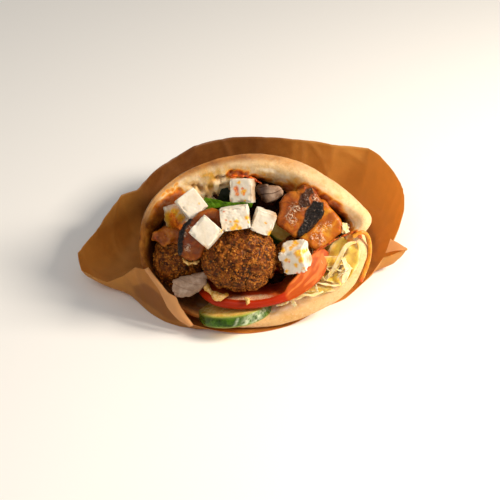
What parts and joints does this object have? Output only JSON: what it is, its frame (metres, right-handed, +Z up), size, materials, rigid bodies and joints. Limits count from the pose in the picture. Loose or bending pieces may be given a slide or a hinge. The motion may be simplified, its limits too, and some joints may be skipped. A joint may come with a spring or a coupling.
{
  "type": "falafel pita",
  "caption": "Stuffed pita pocket with falafel, feta, roasted aubergine, tomato, cucumber and lettuce, lying open end forward in a shallow bowl of brown paper.",
  "frame": {"origin": "on the table under the middle of the paper's outline", "axes": "+X to the right of someone who faces the open end, +Y from the open end towards the closed back of the pocket, +Z up"},
  "size_m": [0.1822, 0.1466, 0.0754],
  "materials": {
    "baked_bread": "soft baked crust, pale golden with browned patches and a bare crumb edge",
    "brown_parchment": "creased brown greaseproof paper",
    "fried_falafel": "coarse deep-fried crumb",
    "feta_cheese": "moist crumbly white cheese",
    "roasted_aubergine": "glossy oiled roasted flesh with charred skin",
    "roasted_onion": "soft translucent layers",
    "herb_leaf": "fresh green leaf",
    "tomato": "wet skin and flesh",
    "cucumber": "wet dark rind and pale flesh",
    "lettuce": "pale shredded leaf",
    "carrot": "fine cut raw strip"
  },
  "bodies": {
    "root": {"pita_bread": "baked_bread", "paper_wrap": "brown_parchment", "falafel_front": "fried_falafel", "falafel_left": "fried_falafel", "falafel_right": "fried_falafel", "feta_upper_left": "feta_cheese", "feta_left": "feta_cheese", "feta_top": "feta_cheese", "feta_middle": "feta_cheese", "feta_middle_right": "feta_cheese", "feta_right": "feta_cheese", "feta_stained": "feta_cheese", "aubergine_top": "roasted_aubergine", "aubergine_right": "roasted_aubergine", "aubergine_long": "roasted_aubergine", "aubergine_left": "roasted_aubergine", "onion_top": "roasted_onion", "onion_front": "roasted_onion", "herb_leaf": "herb_leaf", "tomato_slice": "tomato", "cucumber_front": "cucumber", "cucumber_back": "cucumber", "lettuce_heap": "lettuce", "carrot_strip": "carrot"}
  },
  "joints": []
}
